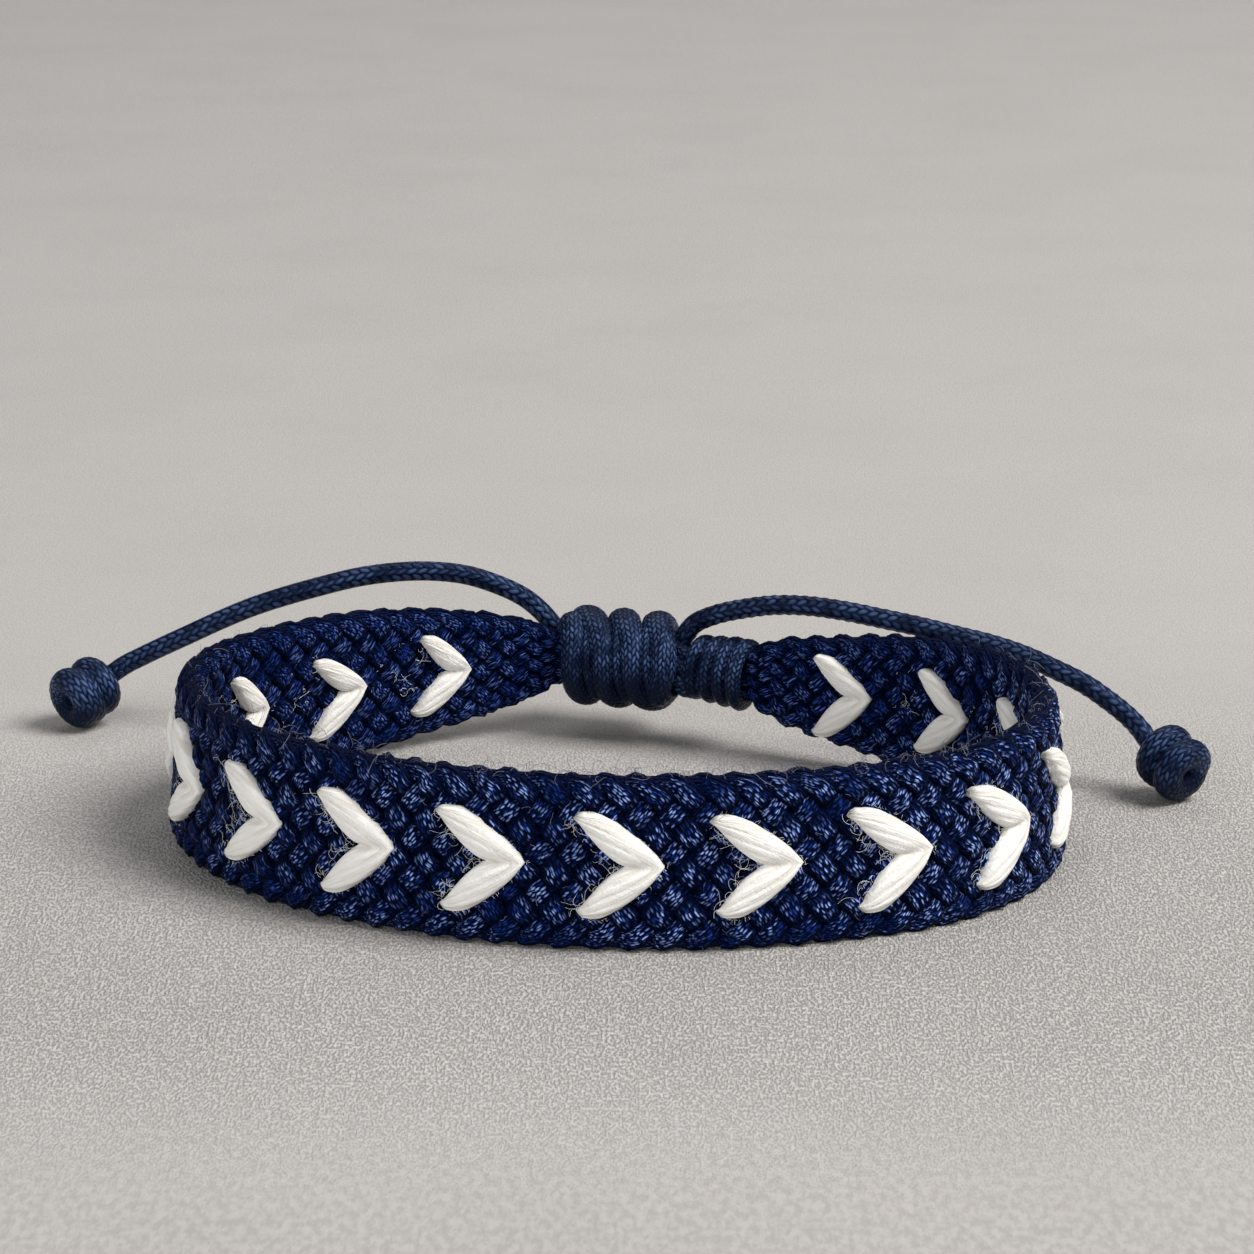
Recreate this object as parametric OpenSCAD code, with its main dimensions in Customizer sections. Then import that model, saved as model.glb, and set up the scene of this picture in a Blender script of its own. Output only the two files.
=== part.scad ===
// Woven friendship bracelet: a flat plaited band with white V stitches, closed by a sliding
// knot on two pull cords. Millimetres, +Z up, standing on its lower edge at z = 0.

/* [Band] */
// Height of the band where it is full
band_h = 12; // [10:0.5:14]
// Thickness over the plaits
band_t = 2.2; // [1.8:0.1:2.6]
// How much further out the lower edge stands than the upper edge
flare = 0.9; // [0:0.1:2]
// Rows of plaits over the height
plait_rows = 8; // [6:1:10]
// Depth of the groove between two rows
groove = 0.18; // [0.05:0.01:0.3]
// Width of the flat strip along the lower and upper edges
edge_flat = 1.0; // [0.6:0.1:1.4]
// Distance between two cross-sections of the full part
section_step = 3; // [2.5:0.5:6]

/* [White stitches] */
// Distance from one V to the next
v_pitch = 9.08; // [8.8:0.02:9.2]
// Place of the first V's point on the outer face, from the left tip
v_first_outer = 10.2; // [9.6:0.1:11]
// Place of the first V's point on the inner face, from the left tip
v_first_inner = 6.6; // [6:0.1:8]
// How far a V stands out of the band
v_rise = 0.7; // [0.4:0.05:1]
// Clearance between a V and the band
v_gap = 0.2; // [0.16:0.01:0.26]

/* [Cords and knots] */
// Diameter of the waxed cord
cord_d = 1.5; // [1.2:0.1:1.5]
// Diameter of the cord that is wound round the sliding knot
knot_cord_d = 2.0; // [1.6:0.1:2]
// Turns of the sliding knot
knot_turns = 3.56; // [2.6:0.02:3.6]
// Turns of the whipping on the right end
whip_turns = 4.2; // [3:0.1:4.4]
// Diameter of the whipping's cord
whip_cord_d = 1.25; // [1:0.05:1.3]
// Size of an end knot across its cord
end_knot_d = 5.1; // [4.4:0.1:5.4]

/* [Hidden] */

$fn = 40;
mid_z = band_h / 2;

// The loop seen from above, from the left tip over the left, front and right to the right tip:
// each row is a stretch of even curvature.
// Columns: length, turn to the left in degrees.
LENGTH = 0;
TURN = 1;
bends = [
    [12, 16],
    [13, 13],
    [13.5, 55],
    [18, 44],
    [21, 30],
    [22, 30],
    [17.5, 53],
    [14, 45],
    [10.5, 29],
    [11, -1],
    [8, 2]
];
// Left tip and the direction in which the band leaves it
loop_start = [-5, 22.9, 195];
neck_end = 159.7;
// The stretch at the full height
full_from = 20;
full_to = 132;

// Height of the band along its length, with the gathered neck under the whipping at the right.
// Columns: place from the left tip, height.
heights = [
    [0, 4.8],
    [1.6, 6.3],
    [4.7, 8.0],
    [7.8, 9.2],
    [11, 10.3],
    [15, 11.4],
    [full_from, band_h],
    [full_to, band_h],
    [137, 11.4],
    [141.5, 10.2],
    [145, 9.0],
    [148.3, 7.8],
    [151, 6.6],
    [151.7, 5.4],
    [152.1, 2.2],
    [155.8, 1.6],
    [neck_end, 1.0]
];

// One leg of a V, from its tail to the seam where the two legs meet.
// Columns: back edge behind the point, back edge up, front edge behind, front edge up, rise.
// All are shares of the leg's reach, height and rise.
leg = [
    [1.00, 0.86, 0.94, 0.99, 0.35],
    [0.90, 0.50, 0.68, 0.97, 0.90],
    [0.62, 0.16, 0.31, 0.55, 1.00],
    [0.38, 0.00, 0.00, 0.00, 0.80]
];
// Columns: reach of the upper leg, its height, reach of the lower leg, its height.
v_outer = [5.7, 3.2, 5.3, 3.6];
v_inner = [4.4, 2.9, 5.0, 3.5];
// How far the outer V's points lie over the middle of the band
v_up = 0.25;
outer_count = 15;
inner_count = 16;

// Sliding knot: its centre and the direction of its cords, then the cords' way through it as
// places along, behind and above that axis.
knot_at = [0.4, 22.8, mid_z];
knot_turned = -17;
knot_pitch = 2.12;
knot_r = 2.9;
core_left_way = [
    [-4.6, -0.95, -0.35],
    [-4.0, -0.85, -0.45],
    [-3.0, -0.82, -0.45],
    [-1.5, -0.85, -0.25],
    [0.0, -0.85, 0.05],
    [1.5, -0.75, 0.45],
    [3.0, -0.60, 0.80],
    [4.2, -0.50, 1.05],
    [4.9, -0.45, 1.45]
];
core_right_way = [
    [4.85, -0.02, -0.25],
    [4.0, 0.25, -0.50],
    [3.0, 0.55, -0.60],
    [1.5, 0.80, -0.35],
    [0.0, 0.85, 0.00],
    [-1.5, 0.85, 0.30],
    [-3.0, 0.80, 0.70],
    [-4.2, 0.60, 1.15],
    [-4.95, 0.45, 1.60]
];

// Whipping: where it starts and ends along the neck, and its half sizes at both ends.
whip_from = 159.0;
whip_to = 153.3;
whip_half_up = [1.5, 2.5];
whip_half_out = [1.45, 1.9];

// The pull cords, from the knot to the end knots, each a list of places.
pull_left_way = [
    [-4.5, 24.6, 7.9],
    [-5.5, 24.7, 9.1],
    [-6.9, 24.7, 10.3],
    [-8.9, 24.7, 11.3],
    [-11.4, 24.7, 12.1],
    [-14.2, 24.7, 12.4],
    [-17, 24.7, 12.3],
    [-19.8, 24.7, 11.9],
    [-22.6, 24.7, 11.2],
    [-25.3, 24.8, 10.4],
    [-27.9, 24.9, 9.5],
    [-30.4, 25.1, 8.4],
    [-32.8, 25.4, 7.2],
    [-35.1, 25.9, 6.0],
    [-36.9, 26.4, 5.0],
    [-38.2, 26.5, 4.3],
    [-39.2, 26.0, 3.7]
];
pull_right_way = [
    [5.4, 21.1, 8.15],
    [6.3, 20.9, 9.3],
    [7.9, 20.2, 10.2],
    [9.9, 19.3, 10.9],
    [12.3, 18.2, 11.5],
    [14.9, 17.2, 11.7],
    [17.6, 16.1, 11.6],
    [20.3, 15.1, 11.3],
    [23, 14, 11.0],
    [25.6, 13, 10.6],
    [28.2, 12, 10.2],
    [30.6, 11.1, 9.6],
    [32.8, 10.2, 8.8],
    [34.9, 9.5, 7.9],
    [36.6, 9.1, 6.8],
    [38.1, 9.0, 5.6],
    [39.1, 8.7, 4.6],
    [39.7, 8.2, 3.8]
];

// End knots: place on the floor and the way from the cord to the cut end.
end_left_at = [-41.1, 24.1];
end_left_way = [-0.68, -0.68, -0.27];
end_right_at = [41.3, 6.1];
end_right_way = [0.56, -0.76, -0.33];
lobe_r = 1.3;
lobe_ring = end_knot_d / 2 - lobe_r;
lobe_apart = 1.15;

function unit(v) = v / norm(v);

// Place and direction on the loop's centre line, at a distance from the left tip.
function along(s, i = 0, p = loop_start) =
    let (
        l = bends[i][LENGTH],
        d = i == len(bends) - 1 ? s : min(s, l),
        a = bends[i][TURN] * d / l,
        chord = a == 0 ? d : d * sin(a / 2) * 360 / (PI * a),
        q = [p.x + chord * cos(p.z + a / 2), p.y + chord * sin(p.z + a / 2), p.z + a]
    )
    d == s ? q : along(s - l, i + 1, q);

// A place by its distance along the loop, its height and how far out it is from the middle
// of the band's thickness.
function place(s, z, out) =
    let (p = along(s), o = out + flare * (0.5 - z / band_h))
    [p.x + o * sin(p.z), p.y - o * cos(p.z), z];

// Cross-section of the band: down the outer face, across the lower edge, up the inner face.
function section(s) =
    let (
        h = lookup(s, heights),
        full = h / band_h,
        lip = 0.45 * full,
        face = [for (k = [0 : 2 * plait_rows])
            [band_t / 2 - (k % 2 == 0 ? groove : 0), (h / 2 - lip) * (1 - k / plait_rows)]],
        flat = edge_flat / 2,
        inner = [for (k = [len(face) - 1 : -1 : 0]) [-face[k][0], face[k][1]]],
        ring = concat(face, [[flat, -h / 2], [-flat, -h / 2]], inner,
            [[-flat, h / 2], [flat, h / 2]]),
        thin = 0.4 + 0.6 * min(1, h / 6)
    )
    [for (p = ring) place(s, mid_z + p[1], p[0] * thin)];

// A closed solid through rings of equally many points, each ring turning right-handed about
// the way from the first to the last.
module skin(rings) {
    n = len(rings[0]);
    last = len(rings) - 1;
    sides = [for (i = [0 : last - 1], k = [0 : n - 1], half = [0, 1])
        let (a = i * n + k, b = i * n + (k + 1) % n)
        half == 0 ? [a, a + n, b] : [b, a + n, b + n]];
    ends = [[for (k = [0 : n - 1]) k], [for (k = [n - 1 : -1 : 0]) last * n + k]];
    polyhedron(points = [for (r = rings) each r], faces = concat(sides, ends));
}

// A round cord through a list of places; lean is a direction that the cord never takes.
module cord(way, d, lean) {
    last = len(way) - 1;
    skin([for (i = [0 : last])
        let (
            t = unit(way[min(i + 1, last)] - way[max(i - 1, 0)]),
            a = unit(cross(t, lean)),
            b = cross(t, a)
        )
        [for (k = [0 : 7]) way[i] + d / 2 * (cos(45 * k) * a + sin(45 * k) * b)]]);
}

// A place in the sliding knot, from its distance along, behind and above the knot's axis.
function in_knot(p) =
    let (c = cos(knot_turned), s = sin(knot_turned))
    knot_at + [p[0] * c - p[1] * s, p[0] * s + p[1] * c, p[2]];

// The plaited band with its tapered tips and its gathered right neck.
module band() {
    steps = round((full_to - full_from) / section_step);
    ends = [for (h = heights) h[0]];
    full = [for (i = [1 : steps - 1]) full_from + (full_to - full_from) * i / steps];
    stations = concat([for (s = ends) if (s <= full_from) s], full,
        [for (s = ends) if (s >= full_to) s]);
    color("midnightblue") skin([for (s = stations) section(s)]);
}

// One V stitch; its point looks along the loop on the outer face and back on the inner one.
module v_stitch(s, size, face, up) {
    // One ring of a leg: from the front edge over the crown to the back edge.
    function leg_ring(row, reach, height) =
        let (
            back = [row[0] * reach, row[1] * height],
            front = [row[2] * reach, row[3] * height],
            dome = [[0, 0], [0.1, 0.6], [0.35, 1], [0.65, 1], [0.9, 0.6], [1, 0]]
        )
        [for (p = dome)
            let (q = front + (back - front) * p[0])
            place(s - face * q[0], mid_z + up + q[1],
                face * (band_t / 2 + v_gap + p[1] * row[4] * v_rise))];
    upper = [for (i = [0 : 3]) leg_ring(leg[i], size[0], size[1])];
    lower = [for (i = [2 : -1 : 0]) leg_ring(leg[i], size[2], -size[3])];
    color("ivory") skin(concat(upper, lower));
}

module outer_stitches() {
    for (i = [0 : outer_count - 1]) v_stitch(v_first_outer + i * v_pitch, v_outer, 1, v_up);
}

module inner_stitches() {
    for (i = [0 : inner_count - 1]) v_stitch(v_first_inner + i * v_pitch, v_inner, -1, 0);
}

// The sliding knot: one cord wound round the two core cords, up its front and down its back.
module slide_knot() {
    steps = round(knot_turns * 15);
    first = -knot_turns * knot_pitch / 2;
    way = [for (i = [0 : steps])
        let (turn = knot_turns * i / steps, a = -100 + 360 * turn)
        in_knot([first + turn * knot_pitch, -knot_r * cos(a), knot_r * sin(a)])];
    color("darkslateblue") cord(way, knot_cord_d, in_knot([1, 0, 0]) - knot_at);
}

// The whipping: a thinner cord wound round the band's gathered neck, wider towards the band.
module end_wrap() {
    steps = round(whip_turns * 13);
    way = [for (i = [0 : steps])
        let (
            f = i / steps,
            a = -90 + 360 * whip_turns * f,
            up = whip_half_up[0] + f * (whip_half_up[1] - whip_half_up[0]),
            out = whip_half_out[0] + f * (whip_half_out[1] - whip_half_out[0]),
            s = whip_from + f * (whip_to - whip_from)
        )
        place(s, mid_z + up * sin(a), -out * cos(a))];
    color("darkslateblue") cord(way, whip_cord_d, [cos(-31), sin(-31), 0]);
}

module core_cord_left() {
    color("darkslateblue") cord([for (p = core_left_way) in_knot(p)], cord_d, [0, 1, 0]);
}

module core_cord_right() {
    color("darkslateblue") cord([for (p = core_right_way) in_knot(p)], cord_d, [0, 1, 0]);
}

module pull_cord_left() {
    color("darkslateblue") cord(pull_left_way, cord_d, [0, 1, 0]);
}

module pull_cord_right() {
    color("darkslateblue") cord(pull_right_way, cord_d, [0, 1, 0]);
}

// A round end knot of two lobes on the floor, with the cord's cut end in a dimple.
module end_knot(at, way) {
    a = unit(way);
    // Height of the centre at which the lower of the two lobes just touches the floor.
    up = lobe_apart * abs(a.z) + lobe_ring * sqrt(1 - a.z * a.z) + lobe_r;
    // Half length of the filled middle of the knot.
    core = lobe_apart + lobe_r * 0.9;
    tilt = acos(a.z);
    turn = atan2(a.y, a.x);
    color("darkslateblue") translate([at.x, at.y, up]) rotate([0, tilt, turn]) difference() {
        rotate_extrude() intersection() {
            union() {
                for (side = [-1, 1]) translate([lobe_ring, side * lobe_apart]) circle(r = lobe_r);
                translate([0, -core]) square([lobe_ring, 2 * core]);
            }
            translate([0, -end_knot_d]) square(2 * end_knot_d);
        }
        translate([0, 0, lobe_apart + lobe_r * 0.45]) cylinder(h = lobe_r, d = cord_d * 0.9);
    }
}

module end_knot_left() {
    end_knot(end_left_at, end_left_way);
}

module end_knot_right() {
    end_knot(end_right_at, end_right_way);
}

band();
outer_stitches();
inner_stitches();
slide_knot();
end_wrap();
core_cord_left();
core_cord_right();
pull_cord_left();
pull_cord_right();
end_knot_left();
end_knot_right();
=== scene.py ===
"""The looks of the woven bracelet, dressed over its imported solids. Metres, +Z up."""

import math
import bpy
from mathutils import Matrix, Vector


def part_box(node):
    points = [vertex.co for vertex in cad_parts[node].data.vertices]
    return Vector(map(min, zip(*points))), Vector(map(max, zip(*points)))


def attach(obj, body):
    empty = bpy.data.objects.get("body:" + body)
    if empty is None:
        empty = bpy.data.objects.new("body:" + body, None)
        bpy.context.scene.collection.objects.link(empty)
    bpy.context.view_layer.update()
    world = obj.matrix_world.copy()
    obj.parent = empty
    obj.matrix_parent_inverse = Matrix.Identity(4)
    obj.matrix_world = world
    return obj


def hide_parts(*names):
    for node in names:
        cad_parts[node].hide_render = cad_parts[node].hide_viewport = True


bl_info = {
    "name": "Woven bracelet",
    "version": (1, 0, 0),
    "blender": (4, 5, 0),
    "location": "3D View > Sidebar > Bracelet",
    "description": "Builds the plaited band, its stitches, knots and cords over the packed solids",
    "category": "Object",
}

from collections import namedtuple

import bpy
import numpy as np

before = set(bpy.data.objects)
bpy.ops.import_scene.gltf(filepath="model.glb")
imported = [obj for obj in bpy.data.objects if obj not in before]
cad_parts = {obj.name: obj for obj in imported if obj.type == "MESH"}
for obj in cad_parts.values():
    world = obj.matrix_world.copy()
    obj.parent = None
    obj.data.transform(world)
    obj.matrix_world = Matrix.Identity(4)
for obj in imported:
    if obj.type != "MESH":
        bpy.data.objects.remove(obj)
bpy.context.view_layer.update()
BAND_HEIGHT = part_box("band")[1].z
BODY = "root"

# The loop seen from above, as in the part's source: stretches of even curvature from the left tip
# over the left, front and right to the right tip. Columns: length, turn to the left in degrees.
BENDS = (
    (0.0120, 16),
    (0.0130, 13),
    (0.0135, 55),
    (0.0180, 44),
    (0.0210, 30),
    (0.0220, 30),
    (0.0175, 53),
    (0.0140, 45),
    (0.0105, 29),
    (0.0110, -1),
    (0.0080, 2),
)
LOOP_START = (-0.0050, 0.0229)
LOOP_HEADING = 195
FLARE = 0.0009
# The guide line runs this far past both tips.
GUIDE_SPARE = 0.004
GUIDE_STEP = 0.0005
MID = BAND_HEIGHT / 2

# Height of the band along its length. Columns: place from the left tip, height.
HEIGHTS = (
    (-0.0030, 0.0032),
    (0.0000, 0.0046),
    (0.0016, 0.0063),
    (0.0047, 0.0080),
    (0.0078, 0.0092),
    (0.0110, 0.0103),
    (0.0150, 0.0114),
    (0.0200, BAND_HEIGHT),
    (0.1320, BAND_HEIGHT),
    (0.1370, 0.0114),
    (0.1415, 0.0102),
    (0.1450, 0.0090),
    (0.1483, 0.0078),
    (0.1510, 0.0066),
    (0.1522, 0.0056),
    (0.1535, 0.0042),
    (0.1548, 0.0030),
    (0.1590, 0.0016),
)
BAND_FROM = -0.0020
BAND_TO = 0.1565

# One leg of a V, from its tail to the seam. Columns: back edge behind the point, back edge up,
# front edge behind, front edge up, rise; all are shares of the leg's reach, height and rise.
LEG = (
    (0.985, 0.880, 0.960, 0.930, -0.70),
    (0.985, 0.860, 0.926, 0.966, 0.25),
    (0.930, 0.795, 0.856, 0.986, 0.70),
    (0.850, 0.635, 0.700, 0.960, 0.95),
    (0.750, 0.425, 0.526, 0.810, 1.00),
    (0.630, 0.225, 0.345, 0.590, 1.00),
    (0.510, 0.065, 0.150, 0.300, 0.90),
    (0.425, 0.000, 0.010, 0.000, 0.50),
)
# Columns: reach of the upper leg, its height, reach of the lower leg, its height.
OUTER_SIZE = (0.0062, 0.0035, 0.0058, 0.0037)
INNER_SIZE = (0.0049, 0.0031, 0.0053, 0.0036)

# The sliding knot's centre, the turn of its axis in degrees, and its winding.
KNOT_AT = (0.0004, 0.0228, MID)
KNOT_TURNED = -17
KNOT_PITCH = 0.00240
KNOT_RADIUS = 0.0029
KNOT_TURNS = 3.51
# Where the first turn passes the front, and how far above the front it starts, in degrees.
KNOT_FRONT = -0.00271
KNOT_START = 100

# The cords' routes, as in the part's source. Those of the core cords are in the knot's own frame.
CORE_LEFT = (
    (-0.0046, -0.00095, -0.00035),
    (-0.0040, -0.00085, -0.00045),
    (-0.0030, -0.00082, -0.00045),
    (-0.0015, -0.00085, -0.00025),
    (0.0000, -0.00085, 0.00005),
    (0.0015, -0.00075, 0.00045),
    (0.0030, -0.00060, 0.00080),
    (0.0042, -0.00050, 0.00105),
    (0.0049, -0.00045, 0.00145),
)
CORE_RIGHT = (
    (0.00485, -0.00002, -0.00025),
    (0.0040, 0.00025, -0.00050),
    (0.0030, 0.00055, -0.00060),
    (0.0015, 0.00080, -0.00035),
    (0.0000, 0.00085, 0.00000),
    (-0.0015, 0.00085, 0.00030),
    (-0.0030, 0.00080, 0.00070),
    (-0.0042, 0.00060, 0.00115),
    (-0.00495, 0.00045, 0.00160),
)
PULL_LEFT = (
    (-0.0045, 0.0246, 0.0079),
    (-0.0055, 0.0247, 0.0091),
    (-0.0069, 0.0247, 0.0103),
    (-0.0089, 0.0247, 0.0113),
    (-0.0114, 0.0247, 0.0121),
    (-0.0142, 0.0247, 0.0124),
    (-0.0170, 0.0247, 0.0123),
    (-0.0198, 0.0247, 0.0119),
    (-0.0226, 0.0247, 0.0112),
    (-0.0253, 0.0248, 0.0104),
    (-0.0279, 0.0249, 0.0095),
    (-0.0304, 0.0251, 0.0084),
    (-0.0328, 0.0254, 0.0072),
    (-0.0351, 0.0259, 0.0060),
    (-0.0369, 0.0264, 0.0050),
    (-0.0382, 0.0265, 0.0043),
    (-0.0392, 0.0260, 0.0037),
)
PULL_RIGHT = (
    (0.0054, 0.0211, 0.00815),
    (0.0063, 0.0209, 0.0093),
    (0.0079, 0.0202, 0.0102),
    (0.0099, 0.0193, 0.0109),
    (0.0123, 0.0182, 0.0115),
    (0.0149, 0.0172, 0.0117),
    (0.0176, 0.0161, 0.0116),
    (0.0203, 0.0151, 0.0113),
    (0.0230, 0.0140, 0.0110),
    (0.0256, 0.0130, 0.0106),
    (0.0282, 0.0120, 0.0102),
    (0.0306, 0.0111, 0.0096),
    (0.0328, 0.0102, 0.0088),
    (0.0349, 0.0095, 0.0079),
    (0.0366, 0.0091, 0.0068),
    (0.0381, 0.0090, 0.0056),
    (0.0391, 0.0087, 0.0046),
    (0.0397, 0.0082, 0.0038),
)

# End knots: the way from the cord to the cut end, and the winding of the cord round its own end.
END_LEFT_WAY = (-0.68, -0.68, -0.27)
END_RIGHT_WAY = (0.56, -0.76, -0.33)
# Columns: turns from the start, place along the axis, distance from the axis.
END_WINDING = np.array(
    (
        (0.00, -0.0014, 0.0003),
        (0.12, -0.0013, 0.0010),
        (0.25, -0.0011, 0.00128),
        (1.05, -0.0010, 0.00132),
        (1.30, 0.0002, 0.00138),
        (1.50, 0.0009, 0.00136),
        (2.30, 0.0010, 0.00134),
        (2.45, 0.0008, 0.00125),
        (2.65, -0.0002, 0.00100),
    )
)

# The second strand is seen in the sliding knot's grooves, and on the last turn, where it runs down
# to the right. Columns: turn, reach over the winding, slope, how far down it is seen.
SECOND_STRAND = (
    (0.50, 0.0003, 1.3, 0.25),
    (1.50, 0.0003, 1.4, 0.25),
    (2.50, 0.0003, 1.4, 0.25),
    (3.02, 0.0006, 0.9, 0.18),
)

# The whipping: its turns, and where it starts and ends along the band.
WHIP_TURNS = 4.1
WHIP_FROM = 0.1587
WHIP_TO = 0.1535
# The strands between the whipping and the sliding knot. Columns: height over the middle and way out
# at the knot, the same under the whipping, radius.
FAN = (
    (0.0016, -0.0004, 0.0012, -0.0012, 0.00062),
    (0.0010, -0.0012, 0.0003, -0.0018, 0.00062),
    (0.0001, -0.0016, -0.0009, -0.0017, 0.00064),
    (-0.0007, -0.0013, -0.0018, -0.0011, 0.00066),
    (-0.0013, -0.0006, -0.0021, 0.0001, 0.00062),
    (0.0006, 0.0010, -0.0002, 0.0013, 0.00064),
    (0.0000, -0.0002, 0.0000, -0.0002, 0.00125),
)

# The loose fibres lie between these places along the band.
LINT_FROM = 0.014
LINT_TO = 0.144
FUZZ_FROM = 0.020
FUZZ_MOST = 0.080
FUZZ_TO = 0.140

# Soft square lights that look at the bracelet. Columns: name, place, size, power, colour.
LIGHTS = (
    ("key_light", (0.80, -0.24, 1.08), 0.74, 24.0, (1.0, 0.98, 0.96)),
    ("front_light", (-0.45, -1.15, 0.50), 0.90, 8.0, (0.98, 0.99, 1.0)),
    ("left_light", (-1.15, -0.40, 0.22), 0.50, 2.2, (0.99, 0.99, 1.0)),
    ("top_light", (-0.10, 0.95, 1.35), 1.20, 6.2, (1.0, 1.0, 1.0)),
)
WORLD_COLOUR = (0.86, 0.88, 0.92, 1)
WORLD_STRENGTH = 0.085

# A line that a strand follows: its places, the half axes of its section, its running length, its
# share of painted light there, with painted shade where it is low, and the number of columns of
# picks round a cord.
Line = namedtuple("Line", "places side facing along crest columns", defaults=(1.0, 10.0))


def math_nodes(operation):
    """A method that adds a Math node."""

    def operate(self, *others):
        sockets = dict(enumerate((self, *others)))
        return self.nodes.value("ShaderNodeMath", {"operation": operation}, sockets)

    return operate


class Value:
    """A socket in a node tree, on which Python's operators add Math nodes."""

    def __init__(self, nodes, socket):
        self.nodes = nodes
        self.socket = socket

    __add__ = __radd__ = math_nodes("ADD")
    __sub__ = math_nodes("SUBTRACT")
    __mul__ = __rmul__ = math_nodes("MULTIPLY")
    __truediv__ = math_nodes("DIVIDE")
    __pow__ = math_nodes("POWER")
    floor = math_nodes("FLOOR")
    fraction = math_nodes("FRACT")
    cosine = math_nodes("COSINE")
    arctan2 = math_nodes("ARCTAN2")
    absolute = math_nodes("ABSOLUTE")
    sign = math_nodes("SIGN")

    def __rsub__(self, other):
        return self * -1 + other

    def __neg__(self):
        return self * -1

    def parts(self):
        split = self.nodes.add("ShaderNodeSeparateXYZ", {}, {0: self})
        return [Value(self.nodes, socket) for socket in split.outputs]

    def ramp(self, low, high):
        """0 below low, 1 above high and smooth between them."""
        sockets = {"Value": self, "From Min": low, "From Max": high}
        return self.nodes.value("ShaderNodeMapRange", {"interpolation_type": "SMOOTHSTEP"}, sockets)


class Nodes:
    """A node tree that is being built."""

    def __init__(self, tree):
        self.tree = tree

    def add(self, kind, settings=None, sockets=None):
        """Adds a node of a type: its settings are set first, then its sockets' values or links."""
        node = self.tree.nodes.new(kind)
        for name, setting in (settings or {}).items():
            setattr(node, name, setting)
        for key, value in (sockets or {}).items():
            self.feed(node.inputs[key], value)
        return node

    def feed(self, socket, value):
        if isinstance(value, Value):
            value = value.socket
        if isinstance(value, bpy.types.NodeSocket):
            self.tree.links.new(value, socket)
        else:
            socket.default_value = value

    def value(self, kind, settings=None, sockets=None, output=0):
        return Value(self, self.add(kind, settings, sockets).outputs[output])

    def vector(self, x, y, z):
        return self.value("ShaderNodeCombineXYZ", {}, {0: x, 1: y, 2: z})

    def vector_math(self, operation, *sockets):
        sockets = dict(enumerate(sockets))
        return self.value("ShaderNodeVectorMath", {"operation": operation}, sockets)

    def scaled(self, vector, factor):
        sockets = {0: vector, "Scale": factor}
        return self.value("ShaderNodeVectorMath", {"operation": "SCALE"}, sockets)

    def named(self, name, kind):
        """A named attribute of the geometry, in a tree of geometry nodes."""
        return self.value("GeometryNodeInputNamedAttribute", {"data_type": kind}, {"Name": name})


def geometry_tree(name, inputs):
    """A new tree of geometry nodes with named inputs: its nodes, and its inputs by name."""
    tree = bpy.data.node_groups.new(name, "GeometryNodeTree")
    tree.is_modifier = True
    tree.interface.new_socket("Geometry", in_out="OUTPUT", socket_type="NodeSocketGeometry")
    for label, kind in {"Geometry": "Geometry", **inputs}.items():
        tree.interface.new_socket(label, in_out="INPUT", socket_type="NodeSocket" + kind)
    nodes = Nodes(tree)
    entry = nodes.add("NodeGroupInput")
    return nodes, {socket.name: Value(nodes, socket) for socket in entry.outputs if socket.name}


def end_tree(nodes, geometry, material):
    """Ends a tree: instances are made real, the surface is smooth and has its material."""
    real = nodes.value("GeometryNodeRealizeInstances", {}, {"Geometry": geometry})
    smooth = nodes.value("GeometryNodeSetShadeSmooth", {}, {"Geometry": real})
    done = nodes.value("GeometryNodeSetMaterial", {}, {"Geometry": smooth, "Material": material})
    nodes.add("NodeGroupOutput", {}, {"Geometry": done})
    return nodes.tree


def bent_on_loop(nodes, geometry, guide):
    """Lays flat work along the loop: x is the distance along, y the way out and z the height."""
    line = nodes.value("GeometryNodeObjectInfo", {}, {"Object": guide}, "Geometry")
    curve = nodes.value("GeometryNodeMeshToCurve", {}, {"Mesh": line})
    along, out, up = nodes.value("GeometryNodeInputPosition").parts()
    settings = {"mode": "LENGTH", "use_all_curves": True}
    sockets = {"Curves": curve, "Length": along + GUIDE_SPARE}
    sample = nodes.add("GeometryNodeSampleCurve", settings, sockets)
    ahead = nodes.vector_math("NORMALIZE", Value(nodes, sample.outputs["Tangent"])).parts()
    reach = out + FLARE * (0.5 - up / BAND_HEIGHT)
    aside = nodes.vector(ahead[1] * reach, -ahead[0] * reach, up)
    place = nodes.vector_math("ADD", Value(nodes, sample.outputs["Position"]), aside)
    return nodes.value("GeometryNodeSetPosition", {}, {"Geometry": geometry, "Position": place})


def place_stored(nodes, geometry, name):
    """The geometry, with each point's place kept in a named attribute."""
    position = nodes.value("GeometryNodeInputPosition")
    sockets = {"Geometry": geometry, "Name": name, "Value": position}
    settings = {"data_type": "FLOAT_VECTOR", "domain": "POINT"}
    return nodes.value("GeometryNodeStoreNamedAttribute", settings, sockets)


def varied(nodes, low, high, seed):
    """A random vector between two, for each point."""
    sockets = {"Min": low, "Max": high, "Seed": seed}
    return nodes.value("FunctionNodeRandomValue", {"data_type": "FLOAT_VECTOR"}, sockets)


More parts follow.
